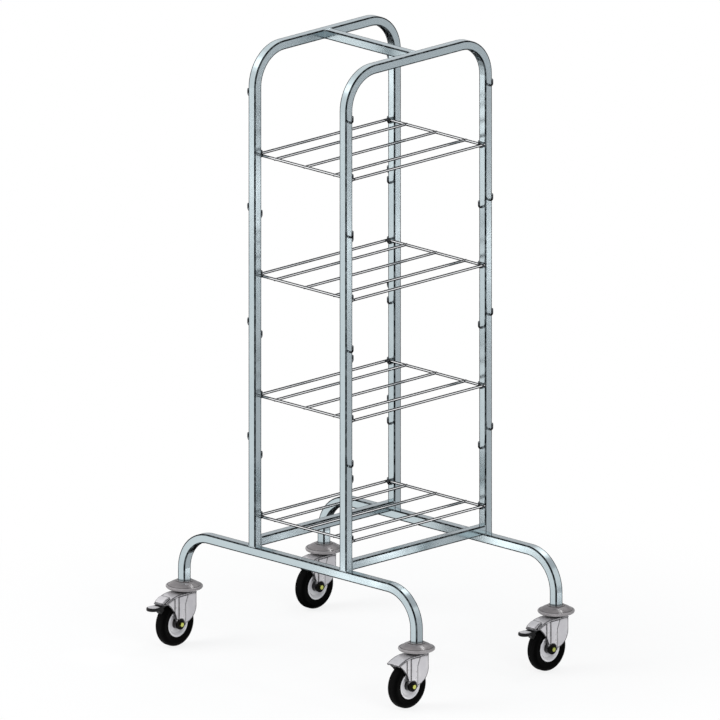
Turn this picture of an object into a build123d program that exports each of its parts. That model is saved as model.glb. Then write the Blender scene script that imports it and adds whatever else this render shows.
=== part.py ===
from build123d import *
import os
from math import atan2, cos, degrees, radians, sin

# Double-sided shelf trolley, in millimetres.
# X runs along the foot bars, from one hoop to the other, Y runs along the shelves and Z is up.
# The origin is on the floor, in the middle of the four caster stems.

# Frame of bent and welded square tube
tube = 25.0
tube_wall = 1.5
tube_corner = 2.0
bend_radius = 100.0
hoop_height = 1388.5
hoop_spacing = 345.0
leg_spacing = 529.0
caster_spacing = 880.0
foot_drop = 44.0

# Wire shelves and the hooks that carry them
shelf_count = 4
shelf_wire = 8.0
shelf_side_gap = 1.2
shelf_lowest = 72.0
shelf_headroom = 311.5
middle_wire_offset = 112.0
edge_wire_gap = 0.5
hook_rod = 6.0
hook_tip = 20.0
hook_play = 0.3
outer_hook_levels = 4
outer_hook_lowest = 291.5
outer_hook_headroom = 140.0

# Wheel
wheel_diameter = 125.0
tyre_width = 32.0
tyre_tread = 10.0
tyre_bead_width = 26.0
rim_diameter = 73.0
rim_lip = 4.0
rim_web = 10.0
rim_dish = 7.0
hub_diameter = 27.0
hub_side_play = 0.65
bush_diameter = 12.0
axle_diameter = 8.0
axle_washer = 3.0
axle_washer_diameter = 29.0
bolt_across_flats = 11.0
bolt_head = 5.5
nut_height = 6.8
thread_end = 2.0

# Fork
caster_trail = 37.0
fork_sheet = 3.0
fork_boss_diameter = 25.0
fork_side_gap = 2.0
fork_crown_gap = 17.0
fork_back = 25.0
fork_back_height = 39.0
fork_back_drop = 3.0
fork_back_round = 10.0
fork_flat = 32.0
fork_heel = 24.0
fork_waist_reach = 22.0
fork_waist_rise = 35.5
fork_hollow = 3.0
hood_gap = 21.8
hood_angle = 51.0
lip_height = 5.0
lip_proud = 1.5
panel_front = 20.0
panel_proud = 1.0
rib_front = 6.0
rib_width = 25.0
rib_proud = 2.5
rib_flare = 10.0
rib_flare_height = 24.0
rib_round = 1.2

# Swivel head, ball ring, bumper and tube plug
kingpin_diameter = 12.0
kingpin_foot = 4.0
kingpin_foot_diameter = 22.0
kingpin_play = 0.3
ball_diameter = 5.0
ball_count = 12
ball_ring_diameter = 34.0
ball_play = 0.3
cup_depth = 2.0
head_height = 8.0
head_diameter = 58.0
head_skirt = 2.0
head_gap = 1.0
bumper_diameter = 100.0
bumper_height = 22.0
bumper_floor = 12.0
bumper_rim = 5.5
bumper_shoulder = 9.3
bumper_ledge = 4.4
bumper_step = 1.0
bumper_bulge = 1.5
bumper_collar_diameter = 46.0
bumper_collar = 1.5
plug_length = 38.0

# Foot brake of two of the casters
brake_stand = 13.6
brake_angle = 60.0
brake_turn = 8.0
brake_play = 0.4
brake_wall = 2.5
brake_roof = 3.5
brake_width = 32.8
brake_tail = 7.5
brake_tail_rise = 5.8
brake_tail_wall = 1.2
brake_back = 4.2
brake_rise = 14.2
brake_crown_reach = 7.0
brake_crown_rise = 11.6
brake_nose_reach = 19.0
brake_nose_rise = 4.6
brake_front = 24.0
brake_front_drop = 1.5
brake_brow = 5.0
brake_round = 2.0
brake_cheek_diameter = 13.0
pedal_eye_diameter = 9.0
pedal_reach = 62.0
pedal_width = 35.0
pedal_drop = 7.4
pedal_thickness = 8.5
pedal_round = 2.3
lever_rise = 4.2
pad_angle = 47.0
pad_length = 14.0
pad_width = 16.0
pad_thickness = 4.0
pad_foot = 12.0
brake_pin_diameter = 5.0

# Clearances
running_fit = 0.05
loose_fit = 0.1
plug_fit = 0.2

# Levels and places that follow from the sizes above
axle_y = -caster_trail
axle_z = wheel_diameter / 2
fork_inner = tyre_width + 2 * fork_side_gap
fork_outer = fork_inner + 2 * fork_sheet
fork_top = wheel_diameter + fork_crown_gap + fork_sheet
bumper_base = fork_top + head_height
tube_end = bumper_base + bumper_floor
foot_level = tube_end + foot_drop + bend_radius
foot_top = foot_level + tube / 2
hoop_top = foot_top + hoop_height
hoop_x = hoop_spacing / 2
leg_y = leg_spacing / 2
caster_x = caster_spacing / 2

hook_bend = hook_rod / 2 + shelf_wire / 2 + hook_play
hook_reach = shelf_side_gap + shelf_wire / 2 + hook_bend
shelf_pitch = (hoop_height - shelf_lowest - shelf_headroom) / (shelf_count - 1)
shelf_hook_levels = [foot_top + shelf_lowest + n * shelf_pitch for n in range(shelf_count)]
spare_hook_levels = [level + shelf_pitch / 2 for level in shelf_hook_levels[:-1]]
outer_pitch = (hoop_height - outer_hook_lowest - outer_hook_headroom) / (outer_hook_levels - 1)
outer_levels = [foot_top + outer_hook_lowest + n * outer_pitch for n in range(outer_hook_levels)]
sides = (-1, 1)

os.makedirs("parts", exist_ok=True)


def write(piece, node, place=Location()):
    """Set a finished piece in its place, label it with its node's name and write it."""
    placed = piece.moved(place)
    placed.label = node
    export_step(placed, f"parts/{node}.step")


def tube_section(plane):
    """Cross-section of the square tube on a plane."""
    with BuildSketch(plane) as section:
        RectangleRounded(tube, tube, tube_corner)
        Rectangle(tube - 2 * tube_wall, tube - 2 * tube_wall, mode=Mode.SUBTRACT)
    return section.sketch


# Hoops: inverted U of one tube, standing on the two foot bars
with BuildPart() as hoop:
    with BuildLine(Plane.YZ) as hoop_line:
        FilletPolyline(
            (-leg_y, foot_top),
            (-leg_y, hoop_top - tube / 2),
            (leg_y, hoop_top - tube / 2),
            (leg_y, foot_top),
            radius=bend_radius,
        )
    sweep(tube_section(Plane(hoop_line.line @ 0)), path=hoop_line.line)
write(hoop.part, "left_hoop", Location((-hoop_x, 0, 0)))
write(hoop.part, "right_hoop", Location((hoop_x, 0, 0)))

# Tie bar between the tops of the hoops
with BuildPart() as top_tie_bar:
    tie_start = (-hoop_x + tube / 2, 0, hoop_top - tube / 2)
    tie_plane = Plane(origin=tie_start, x_dir=(0, 1, 0), z_dir=(1, 0, 0))
    extrude(tube_section(tie_plane), amount=hoop_spacing - tube)
write(top_tie_bar.part, "top_tie_bar")

# Lower rails between the legs of each hoop
with BuildPart() as lower_rails:
    for side in sides:
        rail_start = (side * hoop_x, leg_y - tube / 2, foot_top + tube / 2)
        rail_plane = Plane(origin=rail_start, x_dir=(1, 0, 0), z_dir=(0, -1, 0))
        extrude(tube_section(rail_plane), amount=leg_spacing - tube)
write(lower_rails.part, "lower_rails")

# Foot bars: bent down at both ends into the caster bumpers
with BuildPart() as foot:
    with BuildLine(Plane.XZ) as foot_line:
        FilletPolyline(
            (-caster_x, tube_end),
            (-caster_x, foot_level),
            (caster_x, foot_level),
            (caster_x, tube_end),
            radius=bend_radius,
        )
    sweep(tube_section(Plane(foot_line.line @ 0)), path=foot_line.line)
write(foot.part, "front_foot", Location((0, -leg_y, 0)))
write(foot.part, "rear_foot", Location((0, leg_y, 0)))

# One hook of bent rod, its stem along X from the tube's face and its tip up
with BuildPart() as hook:
    with BuildLine(Plane.XZ) as hook_line:
        hook_stem = Line((0, 0), (hook_reach - hook_bend, 0))
        hook_crook = TangentArc(hook_stem @ 1, (hook_reach, hook_bend), tangent=hook_stem % 1)
        Line(hook_crook @ 1, (hook_reach, hook_tip - hook_rod / 2))
    with BuildSketch(Plane.YZ):
        Circle(hook_rod / 2)
    sweep(path=hook_line.line)
    with Locations((hook_reach, 0, hook_tip - hook_rod / 2)):
        Sphere(hook_rod / 2)

# Outer hooks, on the outer faces of the legs
outer_face = hoop_x + tube / 2
outer_places = [
    Location((side * outer_face, leg_side * leg_y, level), (0, 0, 0 if side > 0 else 180))
    for side in sides
    for leg_side in sides
    for level in outer_levels
]
with BuildPart() as outer_hooks:
    with Locations(outer_places):
        add(hook.part)
write(outer_hooks.part, "outer_hooks")

# Inner hooks, on the faces of the legs that look at each other: one row under each shelf
# and a spare row halfway up to the next shelf
inner_face = leg_y - tube / 2
inner_places = [
    Location((side * hoop_x, leg_side * inner_face, level), (0, 0, -90 * leg_side))
    for side in sides
    for leg_side in sides
    for level in shelf_hook_levels + spare_hook_levels
]
with BuildPart() as inner_hooks:
    with Locations(inner_places):
        add(hook.part)
write(inner_hooks.part, "inner_hooks")

# Shelves: long wires along Y welded between two cross wires that lie in the inner hooks
cross_wire_y = inner_face - hook_reach + hook_bend
edge_wire_x = hoop_x + hook_rod / 2 + shelf_wire / 2 + edge_wire_gap
long_wire_places = [-edge_wire_x, -middle_wire_offset, 0, middle_wire_offset, edge_wire_x]
with BuildPart() as shelf:
    with Locations([(x, 0, 0) for x in long_wire_places]):
        Cylinder(shelf_wire / 2, 2 * cross_wire_y + shelf_wire, rotation=(90, 0, 0))
    with Locations((0, -cross_wire_y, 0), (0, cross_wire_y, 0)):
        Cylinder(shelf_wire / 2, 2 * edge_wire_x, rotation=(0, 90, 0))
for number, level in enumerate(shelf_hook_levels, start=1):
    write(shelf.part, f"shelf_{number}", Location((0, 0, level + hook_bend)))

# Caster pieces are modelled on the stem's axis, with the wheel trailing towards -Y
wheel_plane = Plane(origin=(0, axle_y, axle_z), x_dir=(1, 0, 0), z_dir=(0, -1, 0))
axle_axis = Axis((0, axle_y, axle_z), (1, 0, 0))

# Tyre: solid rubber with a flat tread and round shoulders
shoulder_radius = (tyre_width - tyre_tread) / 2
with BuildPart() as tyre:
    with BuildSketch(wheel_plane):
        with BuildLine():
            tread = Line((-tyre_tread / 2, wheel_diameter / 2), (tyre_tread / 2, wheel_diameter / 2))
            shoulder = TangentArc(
                tread @ 1, (tyre_width / 2, wheel_diameter / 2 - shoulder_radius), tangent=tread % 1
            )
            Polyline(shoulder @ 1, (tyre_bead_width / 2, rim_diameter / 2), (0, rim_diameter / 2))
            mirror(about=Plane.YZ)
        make_face()
    revolve(axis=axle_axis)

# Rim: moulded dish with a hub that turns on the bush
hub_half = fork_inner / 2 - hub_side_play
rim_seat = rim_diameter / 2 - running_fit
with BuildPart() as rim:
    with BuildSketch(wheel_plane):
        with BuildLine():
            Polyline(
                (0, bush_diameter / 2 + running_fit),
                (hub_half, bush_diameter / 2 + running_fit),
                (hub_half, hub_diameter / 2),
                (rim_web / 2, hub_diameter / 2),
                (rim_web / 2, rim_seat - rim_lip - rim_dish),
                (tyre_bead_width / 2, rim_seat - rim_lip),
                (tyre_bead_width / 2, rim_seat),
                (0, rim_seat),
            )
            mirror(about=Plane.YZ)
        make_face()
    revolve(axis=axle_axis)

# Bush: steel sleeve clamped between the fork's legs, on which the hub turns
axle_plane = Plane(origin=(0, axle_y, axle_z), x_dir=(0, 1, 0), z_dir=(1, 0, 0))
with BuildPart() as bush:
    with BuildSketch(axle_plane):
        Circle(bush_diameter / 2)
        Circle(axle_diameter / 2 + running_fit, mode=Mode.SUBTRACT)
    extrude(amount=fork_inner / 2, both=True)

# Washers: one under the bolt's head and one under the nut
washer_face = fork_outer / 2
with BuildPart() as washers:
    for side in sides:
        with BuildSketch(axle_plane.offset(side * washer_face)):
            Circle(axle_washer_diameter / 2)
            Circle(axle_diameter / 2 + running_fit, mode=Mode.SUBTRACT)
        extrude(amount=side * axle_washer)

# Axle: hexagon bolt with its nut
grip_face = washer_face + axle_washer
with BuildPart() as axle:
    with BuildSketch(axle_plane.offset(grip_face)):
        RegularPolygon(bolt_across_flats / 2, 6, major_radius=False)
    extrude(amount=bolt_head)
    with BuildSketch(axle_plane.offset(grip_face)):
        Circle(axle_diameter / 2)
    extrude(amount=-2 * grip_face - nut_height - thread_end)
    with BuildSketch(axle_plane.offset(-grip_face)):
        RegularPolygon(bolt_across_flats / 2, 6, major_radius=False)
        Circle(axle_diameter / 2 + running_fit, mode=Mode.SUBTRACT)
    extrude(amount=-nut_height)

# Fork: pressed steel hood with two legs, a rolled lip and an embossed rib on each leg
hood_reach = wheel_diameter / 2 + hood_gap
hood_tip_y = axle_y - hood_reach * cos(radians(hood_angle))
hood_tip_z = axle_z + hood_reach * sin(radians(hood_angle))
hood_length = -fork_flat - hood_tip_y
hood_turn = 2 * degrees(atan2(fork_top - hood_tip_z, hood_length))
hood_radius = hood_length / sin(radians(hood_turn))
hood_centre = (-fork_flat, fork_top - hood_radius)
tail_turn = 2 * degrees(atan2(fork_back_drop, fork_back_round))
tail_radius = fork_back_round / sin(radians(tail_turn))
tail_centre = (fork_back - fork_back_round, fork_top - tail_radius)
boss_radius = fork_boss_diameter / 2
boss_start = 165
boss_turn = 135
panel_bottom = axle_z + axle_washer_diameter / 2 + loose_fit
rib_top = fork_top - lip_height
rib_back_y = axle_y - rib_front + rib_width
panel_top = fork_top - lip_height / 2


def hood_edge(depth, spare_turn=0.0):
    """The hood's side edge, from its back to its tip, at a depth below the outer surface."""
    tail = CenterArc(tail_centre, tail_radius - depth, 90 - tail_turn - spare_turn, tail_turn + spare_turn)
    front = CenterArc(hood_centre, hood_radius - depth, 90, hood_turn + spare_turn)
    Line(tail @ 1, front @ 0)
    return tail @ 0, front @ 1


def make_fork(braked):
    """Fork of one caster; a braked one has a slot in its hood for the brake housing."""
    with BuildPart() as fork:
        with BuildSketch(Plane.YZ) as side:
            with BuildLine():
                back, tip = hood_edge(0)
                waist = (axle_y - fork_waist_reach, axle_z + fork_waist_rise)
                SagittaArc(tip, waist, fork_hollow)
                boss = CenterArc((axle_y, axle_z), boss_radius, boss_start, boss_turn)
                Line(waist, boss @ 0)
                heel = Line(boss @ 1, (axle_y + fork_heel, axle_z))
                rear = Line(back, (fork_back, fork_top - fork_back_height))
                TangentArc(rear @ 1, heel @ 1, tangent=rear % 1)
            make_face()
        extrude(amount=fork_outer / 2, both=True)
        with BuildSketch(Plane.YZ):
            Polygon(
                (rib_back_y, panel_bottom),
                (rib_back_y, panel_top),
                (axle_y - panel_front, panel_top),
                (axle_y - panel_front, axle_z + fork_waist_rise),
                (axle_y - boss_radius, panel_bottom),
                align=None,
            )
            add(side.sketch_local, mode=Mode.INTERSECT)
        extrude(amount=fork_outer / 2 + panel_proud, both=True)
        with BuildSketch(Plane.YZ):
            Polygon(
                (rib_back_y, axle_z - boss_radius),
                (rib_back_y, rib_top - rib_flare_height),
                (rib_back_y + rib_flare, rib_top),
                (axle_y - rib_front, rib_top),
                (axle_y - rib_front, axle_z),
                align=None,
            )
            add(side.sketch_local, mode=Mode.INTERSECT)
            with Locations((axle_y, axle_z)):
                Circle(axle_washer_diameter / 2 + loose_fit, mode=Mode.SUBTRACT)
        extrude(amount=fork_outer / 2 + rib_proud, both=True)
        rib_edges = fork.edges().filter_by(Axis.Z).group_by(Axis.X)
        fillet(rib_edges[0] + rib_edges[-1], min(rib_round, 0.9 * (rib_proud - panel_proud)))
        with BuildSketch(Plane.YZ):
            with BuildLine():
                upper_back, upper_tip = hood_edge(0)
                lower_back, lower_tip = hood_edge(lip_height)
                Line(upper_back, lower_back)
                Line(upper_tip, lower_tip)
            make_face()
        extrude(amount=fork_outer / 2 + lip_proud, both=True)
        with BuildSketch(Plane.YZ):
            with BuildLine():
                inner_back, inner_tip = hood_edge(fork_sheet, spare_turn=10)
                Polyline(inner_tip, (inner_tip.X, 0), (inner_back.X, 0), inner_back)
            make_face()
        extrude(amount=fork_inner / 2, both=True, mode=Mode.SUBTRACT)
        with BuildSketch(Plane.XY.offset(fork_top)):
            Circle(kingpin_diameter / 2 + running_fit)
        extrude(amount=-2 * fork_sheet, mode=Mode.SUBTRACT)
        with BuildSketch(axle_plane):
            Circle(axle_diameter / 2 + running_fit)
        extrude(amount=fork_outer, both=True, mode=Mode.SUBTRACT)
        if braked:
            slot_length = brake_back + pedal_reach
            with BuildSketch(Plane.XY.offset(fork_top)):
                with Locations((0, pivot_y + brake_back + loose_fit)):
                    Rectangle(brake_width + 2 * loose_fit, slot_length, align=(Align.CENTER, Align.MAX))
            extrude(amount=-fork_top, mode=Mode.SUBTRACT)
    return fork.part


# Foot brake: the pedal turns on a pin in its housing and swings a pad onto the tyre.
# The brake's side views have their origin on the pin, X towards the front and Y up.
pivot_reach = wheel_diameter / 2 + brake_stand
pivot_y = axle_y - pivot_reach * cos(radians(brake_angle))
pivot_z = axle_z + pivot_reach * sin(radians(brake_angle))
pivot_plane = Plane(origin=(0, pivot_y, pivot_z), x_dir=(0, -1, 0), z_dir=(-1, 0, 0))
cheek_radius = brake_cheek_diameter / 2

# Brake housing: pressed cap in the hood's slot, open below and in front, its tail tucked under the hood
with BuildPart() as brake_housing:
    with BuildSketch(pivot_plane):
        with BuildLine():
            crown = ThreePointArc(
                (-brake_back, brake_rise),
                (brake_crown_reach, brake_crown_rise),
                (brake_nose_reach, brake_nose_rise),
            )
            Polyline(
                crown @ 1,
                (brake_front, -brake_front_drop),
                (brake_front, -brake_brow),
                (cheek_radius, -cheek_radius),
                (-cheek_radius, 0),
                (-brake_tail, 0),
                (-brake_tail, brake_tail_rise),
                (-brake_back, brake_tail_rise),
                crown @ 0,
            )
        make_face()
        Circle(cheek_radius)
    extrude(amount=brake_width / 2, both=True)
    cap_edges = brake_housing.edges().filter_by(Axis.X, reverse=True)
    cap_edges = cap_edges.filter_by_position(Axis.Z, pivot_z, pivot_z + brake_rise, inclusive=(False, True))
    cap_edges = cap_edges.filter_by_position(Axis.Y, pivot_y - brake_front, pivot_y + brake_back + loose_fit)
    fillet(cap_edges, min(brake_round, 0.8 * brake_wall))
    with BuildSketch(pivot_plane):
        Polygon(
            (-brake_tail + brake_wall, brake_tail_rise - brake_tail_wall),
            (-brake_back + brake_wall, brake_tail_rise - brake_tail_wall),
            (-brake_back + brake_wall, brake_rise - brake_roof),
            (brake_front - brake_wall, -brake_front_drop),
            (brake_front - brake_wall, -brake_brow),
            (2 * brake_front, -brake_brow),
            (2 * brake_front, -brake_front),
            (-brake_tail + brake_wall, -brake_front),
            align=None,
        )
    extrude(amount=brake_width / 2 - brake_wall, both=True, mode=Mode.SUBTRACT)
    with BuildSketch(pivot_plane):
        Circle(brake_pin_diameter / 2 + running_fit)
    extrude(amount=brake_width, both=True, mode=Mode.SUBTRACT)

# Brake pin: through both cheeks of the housing
with BuildPart() as brake_pin:
    with BuildSketch(pivot_plane):
        Circle(brake_pin_diameter / 2)
    extrude(amount=brake_width / 2, both=True)

# Brake pedal: oval tread on a lever, with an eye on the pin and a foot for the pad.
# The pressed pedal meets the tyre, so the pad is set out from the wheel's centre turned back about the pin.
root_width = brake_width - 2 * brake_wall - 4 * loose_fit
eye_radius = pedal_eye_diameter / 2
tread_centre = pedal_reach - pedal_width / 2
locked_angle = radians(brake_angle + brake_turn)
locked_centre = Plane(
    origin=(0, pivot_y + pivot_reach * cos(locked_angle), pivot_z - pivot_reach * sin(locked_angle)),
    x_dir=(0, -sin(radians(pad_angle)), -cos(radians(pad_angle))),
    z_dir=(-1, 0, 0),
)
pad_face = wheel_diameter / 2 + brake_play
pad_seat = pad_face + pad_thickness
with BuildPart() as brake_pedal:
    with BuildSketch(Plane.XY.offset(pivot_z - pedal_drop)):
        with Locations((0, pivot_y - tread_centre)):
            Circle(pedal_width / 2)
            Rectangle(root_width, tread_centre - brake_front, align=(Align.CENTER, Align.MIN))
    extrude(amount=-pedal_thickness)
    fillet(brake_pedal.edges().filter_by(GeomType.CIRCLE), min(pedal_round, 0.45 * pedal_thickness))
    with BuildSketch(pivot_plane):
        Circle(eye_radius)
        Polygon(
            (0, lever_rise),
            (brake_front, -pedal_drop),
            (brake_front, -pedal_drop - pedal_thickness),
            (0, -eye_radius),
            align=None,
        )
    extrude(amount=root_width / 2, both=True)
    with BuildSketch(locked_centre):
        with Locations((0, pad_seat)):
            Rectangle(pad_length, pad_foot, align=(Align.CENTER, Align.MIN))
    extrude(amount=pad_width / 2, both=True)
    with BuildSketch(pivot_plane):
        Circle(brake_pin_diameter / 2 + running_fit)
    extrude(amount=brake_width, both=True, mode=Mode.SUBTRACT)

# Brake pad: rubber block under the pedal's foot, hollowed to the tyre
with BuildPart() as brake_pad:
    with BuildSketch(locked_centre):
        with Locations((0, pad_seat)):
            Rectangle(pad_length, 2 * pad_thickness, align=(Align.CENTER, Align.MAX))
        Circle(pad_face, mode=Mode.SUBTRACT)
    extrude(amount=pad_width / 2, both=True)

# Swivel head: kingpin with the upper ball cup, its stem up through the bumper into the plug
kingpin_radius = kingpin_diameter / 2
foot_face = fork_top - fork_sheet - kingpin_play
ball_level = fork_top + ball_play + ball_diameter / 2
cup_level = fork_top + ball_play + ball_diameter - cup_depth
stem_top = tube_end + plug_length
with BuildPart() as head:
    with BuildSketch(Plane.XZ):
        with BuildLine():
            Polyline(
                (0, foot_face - kingpin_foot),
                (kingpin_foot_diameter / 2, foot_face - kingpin_foot),
                (kingpin_foot_diameter / 2, foot_face),
                (kingpin_radius, foot_face),
                (kingpin_radius, cup_level),
                (head_diameter / 2 - head_skirt, cup_level),
                (head_diameter / 2 - head_skirt, fork_top + head_gap),
                (head_diameter / 2, fork_top + head_gap),
                (head_diameter / 2, bumper_base),
                (kingpin_radius, bumper_base),
                (kingpin_radius, stem_top),
                (0, stem_top),
                close=True,
            )
        make_face()
        with Locations((ball_ring_diameter / 2, ball_level)):
            Circle(ball_diameter / 2 + ball_play, mode=Mode.SUBTRACT)
    revolve(axis=Axis.Z)

# Ball ring between the fork and the cup
with BuildPart() as balls:
    with Locations((0, 0, ball_level)):
        with PolarLocations(ball_ring_diameter / 2, ball_count):
            Sphere(ball_diameter / 2)

# Bumper: moulded disc between the caster and the tube, with a square socket for the tube's end
bumper_radius = bumper_diameter / 2
with BuildPart() as bumper:
    with BuildSketch(Plane.XZ):
        with BuildLine():
            base = Line(
                (kingpin_radius + loose_fit, bumper_base), (bumper_radius - bumper_rim, bumper_base)
            )
            rim_edge = TangentArc(base @ 1, (bumper_radius, bumper_base + bumper_rim), tangent=base % 1)
            rim_top = TangentArc(
                rim_edge @ 1,
                (bumper_radius - bumper_ledge, bumper_base + bumper_shoulder),
                tangent=rim_edge % 1,
            )
            dome_foot = rim_top @ 1 - (bumper_step, 0)
            Line(rim_top @ 1, dome_foot)
            collar_foot = (bumper_collar_diameter / 2, bumper_base + bumper_height - bumper_collar)
            SagittaArc(dome_foot, collar_foot, -bumper_bulge)
            Polyline(
                collar_foot,
                (bumper_collar_diameter / 2, bumper_base + bumper_height),
                (kingpin_radius + loose_fit, bumper_base + bumper_height),
                base @ 0,
            )
        make_face()
    revolve(axis=Axis.Z)
    with BuildSketch(Plane.XY.offset(tube_end)):
        Rectangle(tube + 2 * loose_fit, tube + 2 * loose_fit)
    extrude(amount=bumper_height, mode=Mode.SUBTRACT)

# Plug: moulded block in the tube's end that grips the stem
plug_width = tube - 2 * tube_wall - 2 * plug_fit
with BuildPart() as plug:
    with BuildSketch(Plane.XY.offset(tube_end)):
        Rectangle(plug_width, plug_width)
        Circle(kingpin_radius + running_fit, mode=Mode.SUBTRACT)
    extrude(amount=plug_length)

# Casters: the front left and rear right ones have a brake
plain_fork = make_fork(braked=False)
braked_fork = make_fork(braked=True)
casters = {
    "front_left": (-caster_x, -leg_y, True),
    "front_right": (caster_x, -leg_y, False),
    "rear_left": (-caster_x, leg_y, False),
    "rear_right": (caster_x, leg_y, True),
}
caster_pieces = {
    "bumper": bumper,
    "plug": plug,
    "head": head,
    "balls": balls,
    "axle": axle,
    "washers": washers,
    "bush": bush,
    "rim": rim,
    "tyre": tyre,
}
brake_pieces = {
    "brake_housing": brake_housing,
    "brake_pin": brake_pin,
    "brake_pedal": brake_pedal,
    "brake_pad": brake_pad,
}
for corner, (stem_x, stem_y, braked) in casters.items():
    place = Location((stem_x, stem_y, 0))
    write(braked_fork if braked else plain_fork, f"{corner}_fork", place)
    for piece_name, piece in caster_pieces.items():
        write(piece.part, f"{corner}_{piece_name}", place)
    if braked:
        for piece_name, piece in brake_pieces.items():
            write(piece.part, f"{corner}_{piece_name}", place)
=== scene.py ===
import math

import bmesh
import bpy
from mathutils import Matrix, Vector


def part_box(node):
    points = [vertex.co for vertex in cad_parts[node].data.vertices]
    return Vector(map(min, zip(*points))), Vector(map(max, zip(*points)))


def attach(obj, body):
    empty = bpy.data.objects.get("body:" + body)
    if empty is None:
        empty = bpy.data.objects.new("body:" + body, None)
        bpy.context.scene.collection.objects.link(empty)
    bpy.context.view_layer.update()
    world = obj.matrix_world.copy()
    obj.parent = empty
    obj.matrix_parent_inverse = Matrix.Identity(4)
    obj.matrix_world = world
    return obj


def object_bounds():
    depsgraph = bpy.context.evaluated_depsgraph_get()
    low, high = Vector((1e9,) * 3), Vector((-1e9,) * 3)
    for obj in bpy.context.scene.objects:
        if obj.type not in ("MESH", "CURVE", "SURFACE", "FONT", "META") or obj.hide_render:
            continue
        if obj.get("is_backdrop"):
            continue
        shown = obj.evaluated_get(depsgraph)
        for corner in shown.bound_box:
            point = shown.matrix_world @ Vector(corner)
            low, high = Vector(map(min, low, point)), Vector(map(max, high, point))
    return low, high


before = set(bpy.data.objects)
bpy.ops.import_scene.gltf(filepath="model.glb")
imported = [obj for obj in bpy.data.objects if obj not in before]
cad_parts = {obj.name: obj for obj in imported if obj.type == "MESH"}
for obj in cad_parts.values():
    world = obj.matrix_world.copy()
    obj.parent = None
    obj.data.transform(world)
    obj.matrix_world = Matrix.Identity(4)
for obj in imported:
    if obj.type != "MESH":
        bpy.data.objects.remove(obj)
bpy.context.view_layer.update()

# Frame tubes: two hoops, the tie bar, two lower rails and two foot bars.
# They are 25 mm square steel tube, bent cold round a former and cut to butt on each other.
# The welded frame is zinc plated with a blue passivate, which leaves the draw lines showing.
tube, tube_bend, past_ends = 0.025, 0.100, 1.0
# The darkest tint is painted shade, laid as narrow lines along the corners of the tubes.
tube_pale, tube_deep, tube_corner_shade = (195, 208, 212), (185, 199, 204), (22, 25, 27)
line_along, line_across = 3.0, 520.0
corner_width, corner_fade = 0.0036, 0.0003
hoop_turn, foot_turn = (1.63, 1.69), (0.36, 0.42)
hoop_high, foot_high, rail_high = (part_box(name)[1] for name in ("right_hoop", "front_foot", "lower_rails"))
hoop_x, leg_y, top_level = (reach - tube / 2 for reach in hoop_high)
caster_x, foot_level, rail_level = (reach - tube / 2 for reach in (foot_high.x, foot_high.z, rail_high.z))


def shade(seen):
    """Linear colour of a tint as it is seen, in 8-bit values."""
    return tuple(((v / 255 + 0.055) / 1.055) ** 2.4 if v > 10 else v / 3294.6 for v in seen) + (1.0,)


def place_node(tree, kind, sockets, **options):
    """A shader node with its options, its sockets set or linked."""
    made = tree.nodes.new(kind)
    for option, value in options.items():
        setattr(made, option, value)
    for socket, value in sockets.items():
        if isinstance(value, bpy.types.NodeSocket):
            tree.links.new(value, made.inputs[socket])
        else:
            made.inputs[socket].default_value = value
    return made


def start_group(name, gives, vectors=(), values=()):
    """A shader node group: its tree, what it takes, and the socket for the value that it gives."""
    group = bpy.data.node_groups.new(name, "ShaderNodeTree")
    for socket in vectors:
        group.interface.new_socket(socket, in_out="INPUT", socket_type="NodeSocketVector")
    for socket in values:
        group.interface.new_socket(socket, in_out="INPUT", socket_type="NodeSocketFloat")
    group.interface.new_socket(gives, in_out="OUTPUT", socket_type="NodeSocketFloat")
    takes = group.nodes.new("NodeGroupInput").outputs
    return group, takes, group.nodes.new("NodeGroupOutput").inputs[gives]


def effect(tree, group, **sockets):
    """The value of a shared effect, placed in a material with its own settings."""
    return place_node(tree, "ShaderNodeGroup", sockets, node_tree=group).outputs[0]


def spread(tree, value, low, high, start=0.0, end=1.0):
    """The value's stretch from low to high, laid out from start to end."""
    sockets = {"Value": value, "From Min": low, "From Max": high, "To Min": start, "To Max": end}
    return place_node(tree, "ShaderNodeMapRange", sockets, interpolation_type="SMOOTHSTEP").outputs[0]


def reckon(tree, operation, *terms):
    """One step of arithmetic on node values."""
    return place_node(tree, "ShaderNodeMath", dict(enumerate(terms)), operation=operation).outputs[0]


def reckon_place(tree, operation, *terms):
    """One step of arithmetic on places; a length or a dot product is a value."""
    made = place_node(tree, "ShaderNodeVectorMath", dict(enumerate(terms)), operation=operation)
    return made.outputs["Value" if operation in ("LENGTH", "DOT_PRODUCT") else "Vector"]


def hypotenuse(tree, first, second):
    """The length of two values that stand square to each other."""
    squares = [reckon(tree, "MULTIPLY", value, value) for value in (first, second)]
    return reckon(tree, "SQRT", reckon(tree, "ADD", *squares))


def noise(tree, place, scale, detail=2.0):
    """Soft noise over the surface."""
    sockets = {"Vector": place, "Scale": scale, "Detail": detail}
    return place_node(tree, "ShaderNodeTexNoise", sockets).outputs[0]


def patchy(tree, mask, place, scale, low, high, least, detail=2.0):
    """A mask that keeps only its least share in patches, where the noise is low."""
    patches = spread(tree, noise(tree, place, scale, detail), low, high, least, 1.0)
    return reckon(tree, "MULTIPLY", mask, patches)


def mix_tints(tree, share, first, second):
    """Two tints, mixed by a share that changes over the surface."""
    sockets = {0: share, 6: first, 7: second}
    return place_node(tree, "ShaderNodeMix", sockets, data_type="RGBA").outputs[2]


drawn_lines, takes, result = start_group("drawn_lines", "Lines", ["Place", "Grain"])
line_place = reckon_place(drawn_lines, "MULTIPLY", takes["Place"], takes["Grain"])
drawn_lines.links.new(noise(drawn_lines, line_place, scale=1.0, detail=3.0), result)

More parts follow.
